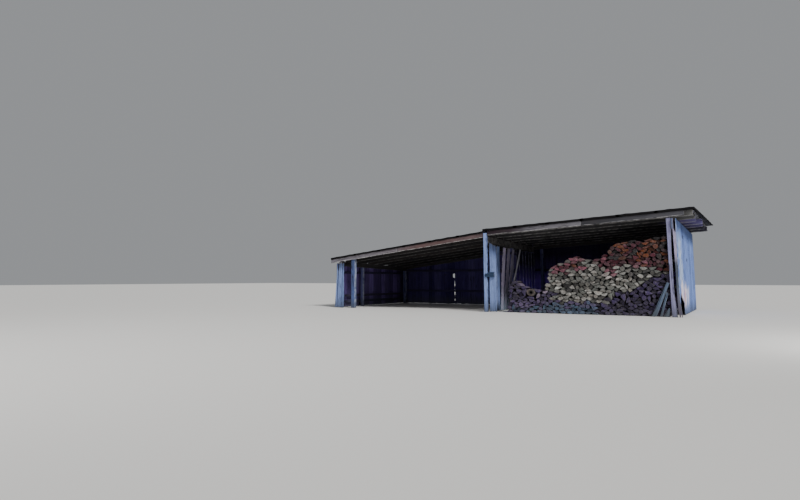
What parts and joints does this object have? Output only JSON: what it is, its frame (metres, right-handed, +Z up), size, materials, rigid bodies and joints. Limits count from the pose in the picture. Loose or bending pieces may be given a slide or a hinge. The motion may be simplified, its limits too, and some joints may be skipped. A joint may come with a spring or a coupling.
{
  "type": "log store",
  "caption": "Long open-fronted timber log store in two bays, roof falling along its length, boarded back, ends and partition, split firewood stacked at the high end.",
  "frame": {"origin": "ground at the foot of the middle front post", "axes": "+X along the length to the high end, -Y out of the open front, +Z up"},
  "size_m": [11.27, 4.585, 2.6962],
  "materials": {
    "grey_board": "weathered rough boards",
    "inner_board": "rough sawn, dark and dry",
    "post_wood": "rough, weathered",
    "beam_wood": "rough sawn",
    "edge_board": "weathered, faded red-brown stain",
    "deck_wood": "rough sawn",
    "roof_felt": "matte, wavy felt",
    "firewood": "split ends, dry"
  },
  "bodies": {
    "root": {"back_boards_left": "inner_board", "back_boards_right": "inner_board", "back_girts_left": "beam_wood", "back_girts_right": "beam_wood", "back_plate_left": "beam_wood", "back_plate_right": "beam_wood", "back_wall_post": "post_wood", "cross_cleat": "grey_board", "leaning_planks": "inner_board", "leaning_stick": "inner_board", "left_back_post": "post_wood", "left_corner_boards": "grey_board", "left_corner_post": "post_wood", "left_covering": "roof_felt", "left_deck": "deck_wood", "left_fascia": "edge_board", "left_front_post": "post_wood", "left_girts": "beam_wood", "left_header": "beam_wood", "left_mid_post": "post_wood", "left_rafters": "beam_wood", "left_wall_boards": "grey_board", "log_heap": "firewood", "log_stack": "firewood", "middle_front_board": "grey_board", "middle_post": "post_wood", "partition_back_post": "post_wood", "partition_boards": "inner_board", "partition_girts": "beam_wood", "partition_header": "beam_wood", "partition_mid_post": "post_wood", "right_back_post": "post_wood", "right_covering": "roof_felt", "right_deck": "deck_wood", "right_fascia": "edge_board", "right_front_post": "post_wood", "right_girts": "beam_wood", "right_header": "beam_wood", "right_mid_post": "post_wood", "right_rafters": "beam_wood", "right_top_cleat": "grey_board", "right_trim_board": "grey_board", "right_wall_boards": "grey_board"}
  },
  "joints": []
}
